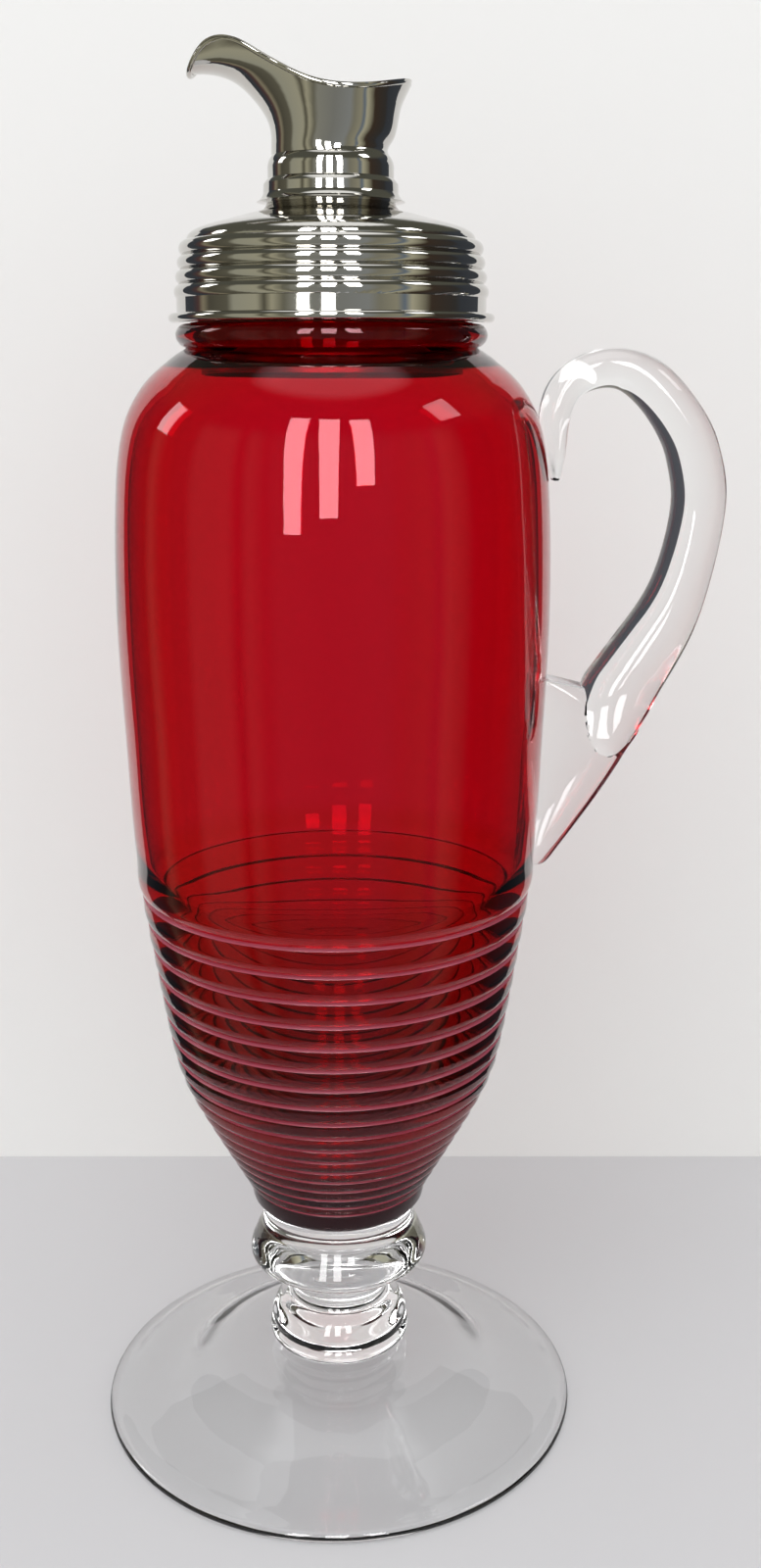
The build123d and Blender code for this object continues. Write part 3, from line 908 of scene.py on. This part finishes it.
# Windows that shine in the glass and metal: how far round in degrees, height of the middle, width and height
FRONT_WINDOWS = ((-18.4, 0.875, 0.26, 1.37), (-0.5, 0.9, 0.28, 1.3), (18, 0.98, 0.28, 1.1))
SIDE_WINDOWS = ((78, 1.6, 0.5, 0.5), (-104, 0.95, 0.3, 0.5))
# The wide light overhead that lights matt surfaces
KEY_PLACE = (-0.3, -0.8, 1.5)
KEY_SIZE = 1.2
# Share of a window's light that still counts after a matt surface
SPREAD_SHARE = 0.12

# The dim room that metal and glass show, by how far round in degrees from straight in front
ROOM_BANDS = (
    (-180, "E6E6E6"), (-158, "E0E0E0"), (-152, "4A4E54"), (-121, "40444A"), (-112, "5A4240"), (-106, "968E78"),
    (-98, "59564A"), (-80, "696658"), (-74, "A9A897"), (-54, "B3B09A"), (-48, "5D5A4C"), (-42, "B6B29A"),
    (-33, "777566"), (-26, "96968C"), (0, "8A8B86"), (28, "949796"), (36, "8D8B7C"), (50, "A19D88"),
    (56, "6E7C8C"), (62, "BFBBA2"), (72, "898572"), (78, "45392F"), (104, "3C3A38"), (110, "3E4248"),
    (150, "4A4E54"), (158, "E0E0E0"), (180, "E6E6E6"),
)
UPPER_WALLS = "5C5C52"
OVERHEAD = 1.2
# How steeply up the upper walls and then the ceiling begin and are full, as the height of a unit direction
UPPER_WALLS_FROM = (0.42, 0.55)
CEILING_FROM = (0.89, 0.94)
# What the camera sees past the floor, and how much brighter the even light is by way of glass
BACKDROP = "E4E4E4"
THROUGH_GLASS = 1.3


def room_light():
    """The world: even pale light, with a dim room round it for what metal and glass show at the sides."""
    settings = bpy.context.scene.shaker_stage
    world = bpy.data.worlds.new("soft_room")
    bpy.context.scene.world = world
    world.use_nodes = True
    tree = world.node_tree
    tree.nodes.clear()
    direction = add(tree, "SeparateXYZ", {0: add(tree, "TexCoord").outputs["Generated"]})
    frontward = add(tree, "Math", {0: direction.outputs[1], 1: -1}, operation="MULTIPLY")
    angle = add(tree, "Math", {0: direction.outputs[0], 1: frontward.outputs[0]}, operation="ARCTAN2")
    share = add(tree, "MapRange", {"Value": angle.outputs[0], "From Min": -pi, "From Max": pi})
    walls = add(tree, "ValToRGB", {"Fac": share.outputs[0]})
    bands = walls.color_ramp.elements
    bands[0].color = linear(ROOM_BANDS[0][1])
    bands[1].color = linear(ROOM_BANDS[-1][1])
    for turn, colour in ROOM_BANDS[1:-1]:
        bands.new(turn / 360 + 0.5).color = linear(colour)
    room = walls.outputs[0]
    for (begins, full), colour in (
        (UPPER_WALLS_FROM, linear(UPPER_WALLS)),
        (CEILING_FROM, (OVERHEAD, OVERHEAD, OVERHEAD, 1)),
    ):
        up = add(tree, "MapRange", {"Value": direction.outputs[2], "From Min": begins, "From Max": full})
        room = add(tree, "Mix", {0: up.outputs[0], 6: room, 7: colour}, data_type="RGBA").outputs[2]
    path = add(tree, "LightPath")
    dim = add(tree, "Background", {"Color": room, "Strength": 1.0})
    through = add(tree, "MapRange", {
        "Value": path.outputs["Is Transmission Ray"],
        "To Min": settings.room_glow,
        "To Max": THROUGH_GLASS * settings.room_glow,
    })
    even = add(tree, "Background", {"Color": (1, 1, 1, 1), "Strength": through.outputs[0]})
    pale = add(tree, "Background", {"Color": linear(BACKDROP), "Strength": 1.0})
    lit = add(tree, "MixShader", {0: room_rays(tree), 1: even.outputs[0], 2: dim.outputs[0]})
    seen = add(tree, "MixShader", {0: path.outputs["Is Camera Ray"], 1: lit.outputs[0], 2: pale.outputs[0]})
    add(tree, "OutputWorld", {"Surface": seen.outputs[0]})


def soft_light(name, place, size, glow, lights_matt):
    """A soft light that faces the object. It either lights matt surfaces or shows in metal and glass."""
    lamp = bpy.data.lights.new(name, "AREA")
    lamp.shape = "RECTANGLE"
    lamp.size, lamp.size_y = size
    lamp.energy = glow * pi * size[0] * size[1]
    light = bpy.data.objects.new(name, lamp)
    bpy.context.scene.collection.objects.link(light)
    light.location = place
    light.rotation_euler = (Vector(place) - LIGHTS_AIM).to_track_quat("Z", "Y").to_euler()
    light.visible_camera = False
    light.visible_diffuse = lights_matt
    light.visible_glossy = light.visible_transmission = not lights_matt
    if not lights_matt:
        lamp.use_nodes = True
        tree = lamp.node_tree
        tree.nodes.clear()
        share = add(tree, "MapRange", {"Value": unspread(tree), "To Min": SPREAD_SHARE})
        shine = add(tree, "Emission", {"Strength": share.outputs[0]})
        add(tree, "OutputLight", {"Surface": shine.outputs[0]})


def soft_windows():
    """Hangs every soft light."""
    settings = bpy.context.scene.shaker_stage
    glows = [settings.window_glow] * len(FRONT_WINDOWS) + [settings.side_glow] * len(SIDE_WINDOWS)
    for i, ((degrees, height, *size), glow) in enumerate(zip(FRONT_WINDOWS + SIDE_WINDOWS, glows)):
        turn = radians(degrees)
        place = (sin(turn) * WINDOW_DISTANCE, -cos(turn) * WINDOW_DISTANCE, height)
        soft_light(f"window_{i}", place, size, glow, lights_matt=False)
    soft_light("overhead", KEY_PLACE, (KEY_SIZE, KEY_SIZE), settings.key_glow, lights_matt=True)


class SHAKER_OT_stage(bpy.types.Operator):
    """Lay the pale floor, stand the card, hang the soft lights and place the camera"""

    bl_idname = "shaker.stage"
    bl_label = "Stage"

    def execute(self, context):
        settings = context.scene.shaker_stage
        bpy.ops.object.select_all(action="DESELECT")
        bpy.ops.mesh.primitive_plane_add(size=FLOOR_WIDTH, location=(0, 0, 0))
        floor = settle(context.object, "floor")
        give(floor, paper("floor_paper", settings.floor, TABLE_REACH))
        bpy.ops.object.select_all(action="DESELECT")
        bpy.ops.mesh.primitive_plane_add(
            size=1,
            location=((CARD_LEFT + CARD_RIGHT) / 2, settings.card_distance, CARD_HEIGHT / 2),
            rotation=(pi / 2, 0, 0),
        )
        card = context.object
        card.scale = (CARD_RIGHT - CARD_LEFT, CARD_HEIGHT, 1)
        settle(card, "back_card")
        give(card, paper("back_card_paper", settings.card))
        room_light()
        soft_windows()
        camera = bpy.data.objects.new("camera", bpy.data.cameras.new("camera"))
        context.scene.collection.objects.link(camera)
        camera.location = CAMERA_PLACE
        camera.rotation_euler = (pi / 2 - CAMERA_DOWN, 0, 0)
        camera.data.lens = camera.data.sensor_width * FOCAL_PIXELS / FRAME_HEIGHT_PIXELS
        camera.data.clip_start = 0.01
        context.scene.camera = camera
        context.scene.view_settings.view_transform = "Standard"
        return {"FINISHED"}


class SHAKER_PT_panel(bpy.types.Panel):
    """Lists the sizes, colours and steps of the shaker"""

    bl_idname = "SHAKER_PT_panel"
    bl_label = "Footed shaker"
    bl_space_type = "VIEW_3D"
    bl_region_type = "UI"
    bl_category = "Shaker"

    def draw(self, context):
        for group in ("shaker_glass", "shaker_metal", "shaker_stage"):
            settings = getattr(context.scene, group)
            for name in settings.__annotations__:
                self.layout.prop(settings, name)
        for step in OPERATORS:
            self.layout.operator(step.bl_idname)


GROUPS = {"shaker_glass": GlassSettings, "shaker_metal": MetalSettings, "shaker_stage": StageSettings}
OPERATORS = (
    SHAKER_OT_ruby_bowl,
    SHAKER_OT_stem_and_foot,
    SHAKER_OT_drawn_handle,
    SHAKER_OT_plated_top,
    SHAKER_OT_rolled_rim,
    SHAKER_OT_stage,
)


def register():
    """Makes the settings, steps and panel known to Blender."""
    for name, group in GROUPS.items():
        bpy.utils.register_class(group)
        setattr(bpy.types.Scene, name, bpy.props.PointerProperty(type=group))
    for shown in (*OPERATORS, SHAKER_PT_panel):
        bpy.utils.register_class(shown)


def unregister():
    """Takes back what register made known."""
    for shown in (SHAKER_PT_panel, *OPERATORS[::-1]):
        bpy.utils.unregister_class(shown)
    for name, group in GROUPS.items():
        delattr(bpy.types.Scene, name)
        bpy.utils.unregister_class(group)


def main():
    """Builds the whole object and its stage."""
    register()
    bpy.ops.shaker.ruby_bowl()
    bpy.ops.shaker.stem_and_foot()
    bpy.ops.shaker.drawn_handle()
    bpy.ops.shaker.plated_top()
    bpy.ops.shaker.rolled_rim()
    bpy.ops.shaker.stage()


if __name__ == "__main__":
    main()
